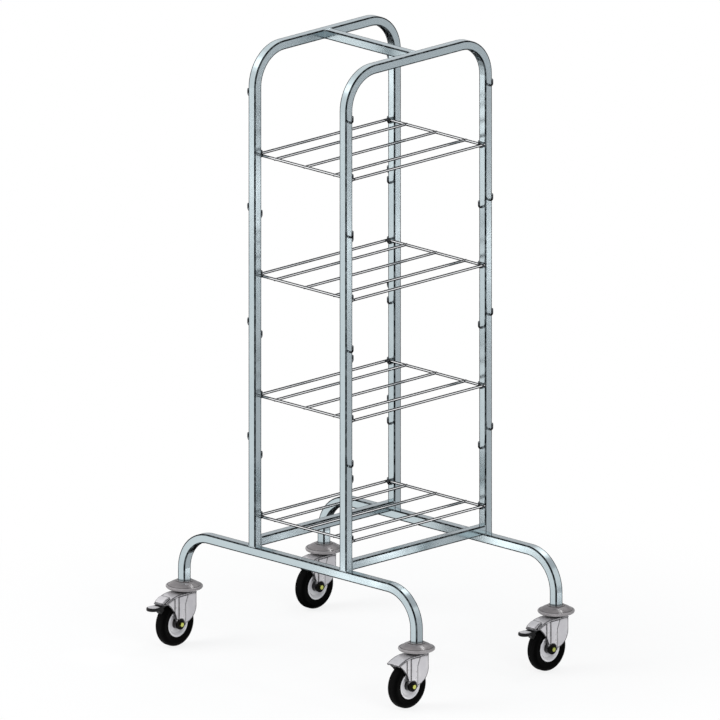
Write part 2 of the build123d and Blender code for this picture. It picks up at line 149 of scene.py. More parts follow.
plating_clouds, takes, result = start_group("plating_clouds", "Clouds", ["Place"], ["Size"])
cloud_noise = noise(plating_clouds, takes["Place"], takes["Size"], detail=4.0)
plating_clouds.links.new(spread(plating_clouds, cloud_noise, low=0.3, high=0.7), result)

# Painted shade: a narrow dark band beside each corner of the square tube, patchy along its length.
corner_lines, takes, result = start_group("corner_lines", "Wear", ["Place", "Middle", "Across", "Along"])
tube_place = reckon_place(
    corner_lines, "SUBTRACT", reckon_place(corner_lines, "ABSOLUTE", takes["Place"]), takes["Middle"]
)
tube_run, tube_rise, tube_side = (
    reckon_place(corner_lines, "DOT_PRODUCT", tube_place, way)
    for way in (takes["Along"], (0.0, 0.0, 1.0), takes["Across"])
)
tube_reach = hypotenuse(
    corner_lines, *(reckon(corner_lines, "MAXIMUM", part, 0.0) for part in (tube_run, tube_rise))
)
face_offsets = tube_side, reckon(corner_lines, "SUBTRACT", tube_reach, tube_bend)
line_start = tube / 2 - corner_width
corner_shares = [
    spread(
        corner_lines,
        reckon(corner_lines, "ABSOLUTE", offset),
        line_start - corner_fade,
        line_start + corner_fade,
    )
    for offset in face_offsets
]
painted_corner_shade = reckon(corner_lines, "MULTIPLY", *corner_shares)
painted_corner_shade = patchy(corner_lines, painted_corner_shade, takes["Place"], scale=90.0, low=0.3, high=0.6, least=0.85)
corner_lines.links.new(painted_corner_shade, result)


def start_material(name, metallic):
    """A material with its node tree, its shader and the surface's Object coordinates."""
    made = bpy.data.materials.new(name)
    made.use_nodes = True
    tree = made.node_tree
    shader = tree.nodes["Principled BSDF"]
    shader.inputs["Metallic"].default_value = metallic
    return made, tree, shader, place_node(tree, "ShaderNodeTexCoord", {}).outputs["Object"]


def lay_on(tree, shader, tint, roughness, height, depth):
    """Join a finish to its shader: tint, roughness and a relief of some depth in metres."""
    tree.links.new(tint, shader.inputs["Base Color"])
    tree.links.new(roughness, shader.inputs["Roughness"])
    relief = place_node(tree, "ShaderNodeBump", {"Height": height, "Strength": 1.0, "Distance": depth})
    tree.links.new(relief.outputs[0], shader.inputs["Normal"])


def toned(tree, lines, clouds, share):
    """A tone from fine lines, which have some share in it, and soft clouds."""
    return reckon(tree, "MULTIPLY_ADD", lines, share, reckon(tree, "MULTIPLY", clouds, 1.0 - share))


def haze(tree, mask, least, more):
    """Roughness that grows from its least by some more where a mask is high."""
    return reckon(tree, "MULTIPLY_ADD", mask, more, least)


def shaded_dull_metal(tree, shader, tint, wear_and_shade, shade_tint):
    """A plated tint with painted shade where the mask is high; there it is dark and no longer metal."""
    tree.links.new(reckon(tree, "SUBTRACT", 1.0, wear_and_shade), shader.inputs["Metallic"])
    shader.inputs["Specular IOR Level"].default_value = 0.0
    return mix_tints(tree, wear_and_shade, tint, shade(shade_tint))


def plated_tube(name, middle, across, straight, bent=None, axis=2, turn=(0.0, 1.0)):
    """Blue zinc plating on drawn tube with painted corner shade; its lines turn with the tube past a bend."""
    made, tree, shader, place = start_material(name, metallic=1.0)
    streak = effect(tree, drawn_lines, Place=place, Grain=straight)
    if bent:
        turned = effect(tree, drawn_lines, Place=place, Grain=bent)
        along = place_node(tree, "ShaderNodeSeparateXYZ", {0: place}).outputs[axis]
        past = spread(tree, reckon(tree, "ABSOLUTE", along), *turn)
        streak = place_node(tree, "ShaderNodeMix", {0: past, 2: streak, 3: turned}).outputs[0]
    clouds = effect(tree, plating_clouds, Place=place, Size=7.0)
    in_plane = across[1], across[0], 0.0
    wear_and_shade = effect(tree, corner_lines, Place=place, Middle=middle, Across=across, Along=in_plane)
    tone = toned(tree, streak, clouds, share=0.35)
    tint = mix_tints(tree, tone, shade(tube_pale), shade(tube_deep))
    tint = shaded_dull_metal(tree, shader, tint, wear_and_shade, tube_corner_shade)
    lay_on(tree, shader, tint, haze(tree, tone, least=0.13, more=0.08), streak, depth=0.000002)
    return made


def dress(material, *names):
    """Give CAD nodes their material."""
    for name in names:
        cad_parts[name].data.materials.clear()
        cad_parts[name].data.materials.append(material)


along_x = (line_along, line_across, line_across)
along_y = (line_across, line_along, line_across)
along_z = (line_across, line_across, line_along)
side_x, side_y = (1.0, 0.0, 0.0), (0.0, 1.0, 0.0)
hoop_middle = (hoop_x, leg_y - tube_bend, top_level - tube_bend)
foot_middle = (caster_x - tube_bend, leg_y, foot_level - tube_bend)
rail_middle = (hoop_x, past_ends, rail_level - tube_bend)
tie_middle = (past_ends, 0.0, top_level - tube_bend)
hoop_plating = plated_tube("hoop_plating", hoop_middle, side_x, along_z, along_y, 2, hoop_turn)
foot_plating = plated_tube("foot_plating", foot_middle, side_y, along_x, along_z, 0, foot_turn)
dress(hoop_plating, "left_hoop", "right_hoop")
dress(foot_plating, "front_foot", "rear_foot")
dress(plated_tube("rail_plating", rail_middle, side_x, along_y), "lower_rails")
dress(plated_tube("tie_plating", tie_middle, side_y, along_x), "top_tie_bar")

# Frame welds: a bead round each end where one tube butts on another.
# They are laid by hand in short ripples, dressed with a wire brush and plated with the frame.
weld_stand, weld_run, weld_round = 0.0007, 0.0034, 0.0012
weld_dull, weld_bright = (150, 160, 164), (186, 198, 203)
sides = (-1, 1)
weld_joints = [((sx * (hoop_x - tube / 2), 0.0, top_level), 0) for sx in sides]
weld_joints += [((sx * hoop_x, sy * (leg_y - tube / 2), rail_level), 1) for sx in sides for sy in sides]
weld_joints += [((sx * hoop_x, sy * leg_y, foot_level + tube / 2), 2) for sx in sides for sy in sides]


def finish_piece(name, mesh, material, body, smooth=True):
    """Turn a bmesh into a piece that rides on a body."""
    bmesh.ops.recalc_face_normals(mesh, faces=mesh.faces)
    data = bpy.data.meshes.new(name)
    mesh.to_mesh(data)
    mesh.free()
    data.polygons.foreach_set("use_smooth", [smooth] * len(data.polygons))
    data.materials.append(material)
    piece = bpy.data.objects.new(name, data)
    bpy.context.scene.collection.objects.link(piece)
    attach(piece, body)


def weld_metal(name, dull, bright):
    """Rippled weld metal, a little duller than the steel that it joins."""
    made, tree, shader, place = start_material(name, metallic=1.0)
    ripple = noise(tree, place, scale=700.0)
    tint = mix_tints(tree, spread(tree, ripple, low=0.35, high=0.65), shade(dull), shade(bright))
    rough = spread(tree, ripple, low=0.3, high=0.7, start=0.3, end=0.5)
    lay_on(tree, shader, tint, rough, ripple, depth=0.0005)
    return made


weld_finish = weld_metal("weld_metal", weld_dull, weld_bright)
beads = bmesh.new()
for centre, axis in weld_joints:
    size = [tube + 2 * weld_stand] * 3
    size[axis] = weld_run
    stand = Matrix.Translation(centre) @ Matrix.Diagonal((*size, 1.0))
    bmesh.ops.create_cube(beads, size=1.0, matrix=stand)
bmesh.ops.bevel(
    beads,
    geom=beads.edges[:],
    offset=weld_round,
    affect="EDGES",
    segments=3,
    profile=0.5,
    material=-1,
    clamp_overlap=True,
)
finish_piece("frame_welds", beads, weld_finish, "frame")

# Hooks: sixteen on the outer faces of the legs and twenty-eight on the inner ones.
# Each is 6 mm bright drawn rod, bent up at its end and welded to the tube by its root.
# The third tint is painted shade, dark on the upper shoulders and underside of each rod.
rod_pale, rod_deep, rod_shade_tint = (168, 173, 176), (120, 125, 128), (12, 12, 13)
rod_grain = (260.0, 260.0, 60.0)
shaded_shoulder, top_glint, shaded_underside = (0.50, 0.62), (0.996, 0.984), (0.09, -0.03)
hook_bead, hook_ring = 0.0011, 0.0034
outer_rows, outer_lowest, outer_pitch = 4, 0.613, 0.319
inner_rows, inner_lowest, inner_pitch = 7, 0.3935, 0.1675
hook_roots = [
    ((sx * (hoop_x + tube / 2), sy * leg_y, outer_lowest + row * outer_pitch), "Y")
    for sx in sides
    for sy in sides
    for row in range(outer_rows)
]
hook_roots += [
    ((sx * hoop_x, sy * (leg_y - tube / 2), inner_lowest + row * inner_pitch), "X")
    for sx in sides
    for sy in sides
    for row in range(inner_rows)
]

# Painted shade: dark on a rod's upper shoulders and underneath, its very top left pale as a painted
# highlight.
rod_shade_bands, takes, result = start_group("rod_shade_bands", "Wear", [], ["Rise"])
flank, glint, below = (
    spread(rod_shade_bands, takes["Rise"], *ramp) for ramp in (shaded_shoulder, top_glint, shaded_underside)
)
upper_shade = reckon(rod_shade_bands, "MULTIPLY", flank, glint)
rod_shade_bands.links.new(reckon(rod_shade_bands, "MAXIMUM", upper_shade, below), result)


def looks_up(tree, place):
    """How far a bent rod's surface looks up; its place has no part in that."""
    normal = place_node(tree, "ShaderNodeNewGeometry", {}).outputs["Normal"]
    return place_node(tree, "ShaderNodeSeparateXYZ", {0: normal}).outputs[2]


def drawn_rod(name, grain, pale, deep, roughness, shade_tint=None, rise=looks_up):
    """Bright rod or wire with die lines and duller patches; with a shade tint, it has painted shade beside
    its top and below.
    """
    made, tree, shader, place = start_material(name, metallic=1.0)
    lines = effect(tree, drawn_lines, Place=place, Grain=grain)
    clouds = effect(tree, plating_clouds, Place=place, Size=42.0)
    tone = toned(tree, lines, clouds, share=0.4)
    tint = mix_tints(tree, tone, shade(pale), shade(deep))
    if shade_tint:
        tint = shaded_dull_metal(tree, shader, tint, effect(tree, rod_shade_bands, Rise=rise(tree, place)), shade_tint)
    lay_on(tree, shader, tint, haze(tree, tone, least=roughness, more=0.14), lines, depth=0.00001)
    return made


hook_finish = drawn_rod("hook_rod", rod_grain, rod_pale, rod_deep, roughness=0.12, shade_tint=rod_shade_tint)
dress(hook_finish, "outer_hooks", "inner_hooks")
beads = bmesh.new()
bead_section = Matrix.Translation((hook_ring, 0.0, 0.0)) @ Matrix.Rotation(math.pi / 2, 4, "X")
for root, turn_axis in hook_roots:
    ring = bmesh.ops.create_circle(beads, segments=6, radius=hook_bead, matrix=bead_section)["verts"]
    known = set(beads.verts) - set(ring)
    bmesh.ops.spin(
        beads,
        geom=[edge for edge in beads.edges if edge.verts[0] in ring],
        axis=(0.0, 0.0, 1.0),
        angle=2 * math.pi,
        steps=12,
        use_merge=True,
    )
    bead = [vert for vert in beads.verts if vert not in known]
    lie = Matrix.Translation(root) @ Matrix.Rotation(math.pi / 2, 4, turn_axis)
    bmesh.ops.transform(beads, matrix=lie, verts=bead)
finish_piece("hook_welds", beads, weld_finish, "frame")

# Shelves: five long wires between two cross wires, which lie in the inner hooks.
# The 8 mm wire is bright nickel plated after its crossings are fused in a spot welder.
# The third tint is painted shade, dark over and under the middle of each wire.
wire_pale, wire_deep, wire_shade_tint = (252, 253, 254), (240, 242, 244), (12, 12, 13)
wire_grain, wire_radius = (190.0, 24.0, 190.0), 0.004
wire_places = (-0.180, -0.112, 0.0, 0.112, 0.180)
spot_dull, spot_bright = (40, 42, 44), (78, 81, 84)
spot_size, spot_inset = (0.0061, 0.0061, 0.0032), 0.0026
shelf_boxes = {shelf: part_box(shelf) for shelf in ("shelf_1", "shelf_2", "shelf_3", "shelf_4")}
shelf_levels = [(low.z + high.z) / 2 for low, high in shelf_boxes.values()]


def over_wires(tree, place):
    """How far a point of a shelf lies over the middle of its wires, in wire radii."""
    half_pitch = (shelf_levels[1] - shelf_levels[0]) / 2
    height = place_node(tree, "ShaderNodeSeparateXYZ", {0: place}).outputs[2]
    height = reckon(tree, "WRAP", height, shelf_levels[0] + half_pitch, shelf_levels[0] - half_pitch)
    return reckon(tree, "DIVIDE", reckon(tree, "SUBTRACT", height, shelf_levels[0]), wire_radius)


wire_finish = drawn_rod(
    "shelf_wire", wire_grain, wire_pale, wire_deep, roughness=0.07, shade_tint=wire_shade_tint, rise=over_wires
)
spot_finish = weld_metal("spot_metal", spot_dull, spot_bright)
for (shelf, (low, high)), level in zip(shelf_boxes.items(), shelf_levels):
    dress(wire_finish, shelf)
    spots = bmesh.new()
    for x in wire_places:
        for y in (low.y + wire_radius + spot_inset, high.y - wire_radius - spot_inset):
            lump = Matrix.Translation((x, y, level)) @ Matrix.Diagonal((*spot_size, 1.0))
            bmesh.ops.create_icosphere(spots, subdivisions=2, radius=1.0, matrix=lump)
    finish_piece(f"{shelf}_spot_welds", spots, spot_finish, f"{shelf}_grid")

# Bumpers and plugs: a disc over each caster that spares the walls, and a plug that grips its stem.
# Bumpers are warm grey plastic, with painted shade on the dome and painted light on the band below it.
# More painted shade lies along the crease, round the tube's foot and in the hollows; the edges are scuffed.
# Painted shade and light: darker dome tints, paler band tints, and a dark tint for crease, tube foot and
# hollows.
dome_body, dome_shadow = (124, 119, 120), (112, 108, 109)
band_body, band_shadow = (146, 142, 143), (134, 130, 131)
bumper_scuff, bumper_shade = (198, 194, 193), (48, 45, 45)
bumper_crease_radius, crease_fade, crease_shade_band, joint_shade_band = 0.0451, 0.0003, (0.0013, 0.0007), (0.0152, 0.0140)
plug_tints = (38, 38, 39), (28, 28, 29), (70, 70, 70)
scuff_share, bumper_scuff_share = 0.55, 0.4
casters = ("front_left", "front_right", "rear_left", "rear_right")

worn_edges, takes, result = start_group("worn_edges", "Wear", ["Place"], ["Width"])
rounded = place_node(worn_edges, "ShaderNodeBevel", {"Radius": takes["Width"]}, samples=4).outputs[0]
normal = place_node(worn_edges, "ShaderNodeNewGeometry", {}).outputs["Normal"]
edge_turn = reckon_place(worn_edges, "DOT_PRODUCT", rounded, normal)
edge_wear = spread(worn_edges, edge_turn, low=0.995, high=0.94)
edge_wear = patchy(
    worn_edges, edge_wear, takes["Place"], scale=160.0, low=0.3, high=0.6, least=0.6, detail=3.0
)
worn_edges.links.new(edge_wear, result)

# Painted shade: darker in hollows and inner corners, where short rays soon meet a nearby surface.
occlusion_shade, takes, result = start_group("occlusion_shade", "Grime", ["Place"], ["Reach"])
corner_light = place_node(
    occlusion_shade, "ShaderNodeAmbientOcclusion", {"Distance": takes["Reach"]}, samples=8, only_local=True
).outputs["AO"]
hollow_shade_depth = spread(occlusion_shade, corner_light, low=0.97, high=0.76)
hollow_shade_depth = patchy(occlusion_shade, hollow_shade_depth, takes["Place"], scale=90.0, low=0.25, high=0.6, least=0.7)
occlusion_shade.links.new(hollow_shade_depth, result)


def moulded(name, tints, roughness, grain, width, gloss):
    """Moulded plastic in three tints, body, shadow and scuff: fine grain, cloudy tone, scuffed edges."""
    body, shadow, scuff = tints
    made, tree, shader, place = start_material(name, metallic=0.0)
    shader.inputs["Specular IOR Level"].default_value = gloss
    clouds = effect(tree, plating_clouds, Place=place, Size=38.0)
    wear_and_shade = effect(tree, worn_edges, Place=place, Width=width)
    tint = mix_tints(tree, clouds, shade(body), shade(shadow))
    tint = mix_tints(tree, reckon(tree, "MULTIPLY", wear_and_shade, scuff_share), tint, shade(scuff))
    rough = haze(tree, clouds, least=roughness, more=0.14)
    lay_on(tree, shader, tint, rough, noise(tree, place, grain), depth=0.00006)
    return made


def bumper_with_painted_shade(name):
    """Bumper plastic: dome and band tinted as painted shade and light; painted shade at crease, tube and
    hollows.
    """
    made, tree, shader, place = start_material(name, metallic=0.0)
    clouds = effect(tree, plating_clouds, Place=place, Size=38.0)
    wear_and_shade = effect(tree, worn_edges, Place=place, Width=0.0012)
    bumper_hollow_shade = effect(tree, occlusion_shade, Place=place, Reach=0.003)
    folded = reckon_place(tree, "ABSOLUTE", place)
    offset = reckon_place(tree, "SUBTRACT", folded, (caster_x, leg_y, 0.0))
    radius = reckon_place(tree, "LENGTH", reckon_place(tree, "MULTIPLY", offset, (1.0, 1.0, 0.0)))
    dome = mix_tints(tree, clouds, shade(dome_body), shade(dome_shadow))
    band = mix_tints(tree, clouds, shade(band_body), shade(band_shadow))
    tint = mix_tints(tree, spread(tree, radius, bumper_crease_radius - crease_fade, bumper_crease_radius + crease_fade), dome, band)
    tint = mix_tints(tree, reckon(tree, "MULTIPLY", wear_and_shade, bumper_scuff_share), tint, shade(bumper_scuff))
    tint = mix_tints(tree, bumper_hollow_shade, tint, shade(bumper_shade))
    crease_shade = spread(tree, reckon(tree, "ABSOLUTE", reckon(tree, "SUBTRACT", radius, bumper_crease_radius)), *crease_shade_band)
    parts = place_node(tree, "ShaderNodeSeparateXYZ", {0: reckon_place(tree, "ABSOLUTE", offset)}).outputs
    joint = spread(tree, reckon(tree, "MAXIMUM", parts[0], parts[1]), *joint_shade_band)
    tint = mix_tints(tree, reckon(tree, "MAXIMUM", crease_shade, joint), tint, shade(bumper_shade))
    rough = haze(tree, clouds, least=0.18, more=0.08)
    lay_on(tree, shader, tint, rough, noise(tree, place, scale=900.0), depth=0.00003)
    return made


bumper_finish = bumper_with_painted_shade("bumper_plastic")
plug_finish = moulded("plug_plastic", plug_tints, roughness=0.5, grain=900.0, width=0.001, gloss=0.4)
dress(bumper_finish, *(f"{caster}_bumper" for caster in casters))
dress(plug_finish, *(f"{caster}_plug" for caster in casters))

# Swivel heads and balls: the pressed cup that carries the kingpin, and its ring of steel balls.
# The cup is steel tinted near black as painted shade under the bumper, and the balls are polished.
head_pale, head_deep, head_grain = (52, 52, 54), (30, 30, 32), (120.0, 120.0, 40.0)
ball_pale, ball_deep, ball_grain = (206, 207, 208), (150, 152, 154), (80.0, 80.0, 80.0)
head_finish = drawn_rod("head_steel", head_grain, head_pale, head_deep, roughness=0.4)
ball_finish = drawn_rod("ball_steel", ball_grain, ball_pale, ball_deep, roughness=0.1)
dress(head_finish, *(f"{caster}_head" for caster in casters))
dress(ball_finish, *(f"{caster}_balls" for caster in casters))

# Forks and brake housings: pressed from 3 mm sheet, with a rolled lip and an embossed rib.
# They are zinc plated in a barrel, which leaves pale grey faces; painted shade darkens their edges and
# corners.
# The sheet is black round the axle.
fork_pale, fork_deep = (212, 210, 212), (200, 198, 201)
# The first two tints are painted shade, for the corners and along the edges; the third is black round the
# axle.
fork_shade_tint, fork_edge_shade, fork_axle_black = (26, 26, 28), (28, 28, 30), (10, 10, 11)
fork_edge, fork_corner, fork_edge_shade_share = 0.0028, 0.006, 0.95
axle_black_reach, axle_black_fade = 0.0145, 0.001
braked = ("front_left", "rear_right")

# Painted shade along the sheet's edges, where short rays cast inward soon meet another face.
sheet_edges, takes, result = start_group("sheet_edges", "Wear", ["Place"], ["Width"])
sheet_depth = place_node(
    sheet_edges,
    "ShaderNodeAmbientOcclusion",
    {"Distance": takes["Width"]},
    samples=8,
    only_local=True,
    inside=True,
).outputs["AO"]
sheet_edge_shade = spread(sheet_edges, sheet_depth, low=0.99, high=0.88)
sheet_edge_shade = patchy(sheet_edges, sheet_edge_shade, takes["Place"], scale=120.0, low=0.3, high=0.6, least=0.75)
sheet_edges.links.new(sheet_edge_shade, result)

wheel_rings, takes, result = start_group("wheel_rings", "Radius", ["Place"])
ring_parts = place_node(wheel_rings, "ShaderNodeSeparateXYZ", {0: takes["Place"]}).outputs
wheel_rings.links.new(hypotenuse(wheel_rings, ring_parts[1], ring_parts[2]), result)


def on_axle(tree, place, axle):
    """Coordinates from the middle of a wheel, and the distance from its axle."""
    centred = place_node(tree, "ShaderNodeMapping", {"Vector": place, "Location": tuple(-axle)}).outputs[0]
    return centred, effect(tree, wheel_rings, Place=centred)


def pressed_zinc(name, axle, edge):
    """Barrel plated sheet: soft clouds, fine tumbling marks, painted shade at edges and corners, black round
    the axle.
    """
    made, tree, shader, place = start_material(name, metallic=0.35)
    shader.inputs["Specular IOR Level"].default_value = 0.15
    centred, radius = on_axle(tree, place, axle)
    clouds = effect(tree, plating_clouds, Place=centred, Size=30.0)
    wear_and_shade = effect(tree, sheet_edges, Place=centred, Width=edge)
    fork_hollow_shade = effect(tree, occlusion_shade, Place=centred, Reach=fork_corner)
    axle_black = spread(tree, radius, axle_black_reach + axle_black_fade, axle_black_reach - axle_black_fade)
    tint = mix_tints(tree, clouds, shade(fork_pale), shade(fork_deep))
    tint = mix_tints(tree, reckon(tree, "MULTIPLY", wear_and_shade, fork_edge_shade_share), tint, shade(fork_edge_shade))
    tint = mix_tints(tree, fork_hollow_shade, tint, shade(fork_shade_tint))
    tint = mix_tints(tree, axle_black, tint, shade(fork_axle_black))
    rough = haze(tree, clouds, least=0.26, more=0.08)
    lay_on(tree, shader, tint, rough, noise(tree, centred, scale=420.0, detail=3.0), depth=0.00001)
    return made


axles = {}
for caster in casters:
    low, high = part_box(f"{caster}_tyre")
    axles[caster] = (low + high) / 2
    fork_finish = pressed_zinc(f"{caster}_fork_zinc", axles[caster], fork_edge)
    dress(fork_finish, f"{caster}_fork")
    if caster in braked:
        dress(fork_finish, f"{caster}_brake_housing")

# Axles: an 8 mm hexagon bolt with its nut, through black washers and a steel bush.
# Bolt and nut are yellow passivated, with the patchy green and gold of that finish.
# The bush is plain turned steel, and so are the brakes' pins.
bolt_gold, bolt_green, bolt_grain = (216, 214, 116), (178, 196, 98), (90.0, 90.0, 90.0)
washer_tints = (6, 6, 7), (4, 4, 5), (16, 16, 17)
bush_pale, bush_deep, bush_grain = (176, 178, 180), (120, 122, 125), (60.0, 300.0, 300.0)
bolt_finish = drawn_rod("bolt_yellow", bolt_grain, bolt_gold, bolt_green, roughness=0.2)
washer_finish = moulded(
    "washer_plastic", washer_tints, roughness=0.46, grain=700.0, width=0.0006, gloss=0.08
)
bush_finish = drawn_rod("bush_steel", bush_grain, bush_pale, bush_deep, roughness=0.2)
dress(bolt_finish, *(f"{caster}_axle" for caster in casters))
dress(washer_finish, *(f"{caster}_washers" for caster in casters))
dress(bush_finish, *(f"{caster}_bush" for caster in casters))
dress(bush_finish, *(f"{caster}_brake_pin" for caster in braked))

# Wheels: a moulded grey rim whose hub has a black bearing, under a solid black tyre.
# The tyre is vulcanised on: it has moulded rings on each wall and a tread dulled by the floor.
rim_pale, rim_deep, hub_black = (216, 215, 217), (200, 199, 202), (5, 5, 6)
tyre_black, tyre_dull = (4, 4, 4), (12, 12, 12)
hub_edge, tread_edge, wall_edge = (0.0146, 0.0136), (0.0585, 0.0618), (0.054, 0.052)
ring_pitch, ring_crest, skin_share = 0.0085, (0.88, 0.97), 0.25


def rim_plastic(name, axle):
    """Grey moulding, black inside the hub."""
    made, tree, shader, place = start_material(name, metallic=0.0)
    centred, radius = on_axle(tree, place, axle)
    clouds = effect(tree, plating_clouds, Place=centred, Size=40.0)
    tint = mix_tints(tree, clouds, shade(rim_pale), shade(rim_deep))
    tint = mix_tints(tree, spread(tree, radius, *hub_edge), tint, shade(hub_black))
    rough = haze(tree, clouds, least=0.16, more=0.1)
    lay_on(tree, shader, tint, rough, noise(tree, centred, scale=800.0), depth=0.00003)
    return made


def tyre_rubber(name, axle):
    """Black rubber with moulded rings on its walls and a dull tread."""
    made, tree, shader, place = start_material(name, metallic=0.0)
    shader.inputs["Specular IOR Level"].default_value = 0.02
    centred, radius = on_axle(tree, place, axle)
    tread = spread(tree, radius, *tread_edge)
    tread = patchy(tree, tread, centred, scale=60.0, low=0.3, high=0.65, least=0.4, detail=4.0)
    tint = mix_tints(tree, tread, shade(tyre_black), shade(tyre_dull))
    wave = reckon(tree, "SINE", reckon(tree, "MULTIPLY", radius, 2 * math.pi / ring_pitch))
    ring = reckon(tree, "MULTIPLY", spread(tree, wave, *ring_crest), spread(tree, radius, *wall_edge))
    skin = noise(tree, centred, scale=520.0, detail=3.0)
    height = reckon(tree, "MULTIPLY_ADD", skin, skin_share, ring)
    lay_on(tree, shader, tint, haze(tree, tread, least=0.42, more=0.25), height, depth=0.0004)
    return made


for caster, axle in axles.items():
    dress(rim_plastic(f"{caster}_rim_plastic", axle), f"{caster}_rim")
    dress(tyre_rubber(f"{caster}_tyre_rubber", axle), f"{caster}_tyre")

# Brake pedals: a black moulded lever on a pin, with a rubber pad that it swings onto the tyre.
# A pale pressed plate with a rounded front is let onto the tread for the shoe's sole.
pedal_tints = (13, 13, 14), (9, 9, 10), (38, 38, 39)
pad_tints = (34, 33, 33), (24, 24, 24), (52, 51, 50)
plate_radius, plate_thick, plate_round = 0.0142, 0.0011, 0.0007
plate_middle, plate_back, plate_flat = 0.0001, 0.011, 0.25
pedal_top, pedal_middle, plate_sink, axle_black_drop = 0.121, 0.0445, 0.0001, 0.06
pedal_finish = moulded("pedal_plastic", pedal_tints, roughness=0.4, grain=700.0, width=0.0008, gloss=0.2)
pad_finish = moulded("pad_rubber", pad_tints, roughness=0.66, grain=500.0, width=0.0008, gloss=0.2)
for caster in braked:
    dress(pedal_finish, f"{caster}_brake_pedal")
    dress(pad_finish, f"{caster}_brake_pad")
    low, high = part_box(f"{caster}_brake_pin")
    plate = bmesh.new()
    outline = bmesh.ops.create_circle(plate, cap_ends=True, segments=48, radius=plate_radius)["verts"]
    rear = [vert for vert in outline if vert.co.y > plate_middle]
    bmesh.ops.scale(plate, vec=(1.0, plate_flat, 1.0), verts=rear)
    bmesh.ops.translate(plate, vec=(0.0, plate_back, 0.0), verts=rear)
    raised = bmesh.ops.extrude_face_region(plate, geom=plate.faces[:])["geom"]
    top = [part for part in raised if isinstance(part, bmesh.types.BMVert)]
    bmesh.ops.translate(plate, vec=(0.0, 0.0, plate_thick), verts=top)
    rim = [edge for edge in plate.edges if all(vert.co.z > plate_thick / 2 for vert in edge.verts)]
    bmesh.ops.bevel(
        plate, geom=rim, offset=plate_round, affect="EDGES", segments=3, profile=0.5, material=-1
    )
    centre = Vector(((low.x + high.x) / 2, (low.y + high.y) / 2 - pedal_middle, pedal_top - plate_sink))
    bmesh.ops.translate(plate, vec=centre, verts=plate.verts[:])
    clear_of_axle_black = centre - Vector((0.0, 0.0, axle_black_drop))
    plate_finish = pressed_zinc(f"{caster}_tread_zinc", clear_of_axle_black, plate_round)
    finish_piece(f"{caster}_tread_plate", plate, plate_finish, f"{caster}_pedal", smooth=False)

# Studio: a pale round floor under a white surround, as in a product picture.
# The floor is painted board; seen directly it is the white of the surround, with a faint shadow.
floor_radius, floor_white, floor_share, shadow_reach = 14.0, (250, 250, 250), 0.82, (0.5, 1.5)
soft_sky, soft_strength = (0.93, 0.96, 1.0, 1.0), 0.46
plain_white = (1.0, 1.0, 1.0, 1.0)


def seen_directly(tree):
    """One where a surface is looked at, mirrored or seen through; nought where it only gives light."""
    path = place_node(tree, "ShaderNodeLightPath", {}).outputs
    mirrored = reckon(tree, "MAXIMUM", path["Is Glossy Ray"], path["Is Transmission Ray"])
    return reckon(tree, "MAXIMUM", path["Is Camera Ray"], mirrored)


board = bmesh.new()
bmesh.ops.create_circle(board, cap_ends=True, segments=96, radius=floor_radius)
floor_data = bpy.data.meshes.new("floor")
board.to_mesh(floor_data)
board.free()
floor = bpy.data.objects.new("floor", floor_data)
bpy.context.scene.collection.objects.link(floor)
floor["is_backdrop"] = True
floor_paint, tree, shader, place = start_material("floor_paint", metallic=0.0)
shader.inputs["Base Color"].default_value = shade(floor_white)
shader.inputs["Roughness"].default_value = 0.9
glow = place_node(tree, "ShaderNodeEmission", {"Color": plain_white, "Strength": 1.0})
away = reckon_place(tree, "LENGTH", place)
share = reckon(tree, "MULTIPLY", seen_directly(tree), spread(tree, away, *shadow_reach, floor_share, 1.0))
surface = place_node(tree, "ShaderNodeMixShader", {0: share, 1: shader.outputs[0], 2: glow.outputs[0]})
tree.links.new(surface.outputs[0], tree.nodes["Material Output"].inputs["Surface"])
floor_data.materials.append(floor_paint)

surround = bpy.data.worlds.new("surround")
surround.use_nodes = True
bpy.context.scene.world = surround
tree = surround.node_tree
soft = tree.nodes["Background"]
soft.inputs["Color"].default_value = soft_sky
soft.inputs["Strength"].default_value = soft_strength
white = place_node(tree, "ShaderNodeBackground", {"Color": plain_white, "Strength": 1.0})
sky = place_node(
    tree, "ShaderNodeMixShader", {0: seen_directly(tree), 1: soft.outputs[0], 2: white.outputs[0]}
)
tree.links.new(sky.outputs[0], tree.nodes["World Output"].inputs["Surface"])

# Lamps: a large soft key from the front left, a weaker fill from the right, and a small one overhead.
# They are hung outside the picture and leave no glint of their own: the cards below do that.
lamp_target = Vector((0.0, 0.0, 0.8))
lamps = {
    "key_lamp": ((-2.6, -3.2, 3.0), 3.2, 140.0),
    "fill_lamp": ((3.4, -1.0, 1.7), 2.0, 60.0),
    "top_lamp": ((-0.3, 2.0, 4.4), 0.7, 16.0),
}
for name, (stand, width, power) in lamps.items():
    data = bpy.data.lights.new(name, "AREA")
    data.shape = "SQUARE"
    data.size = width
    data.energy = power
    lamp = bpy.data.objects.new(name, data)
    lamp.location = stand
    lamp.rotation_euler = (lamp_target - Vector(stand)).to_track_quat("-Z", "Y").to_euler()
    lamp.visible_camera = lamp.visible_glossy = False
    bpy.context.scene.collection.objects.link(lamp)

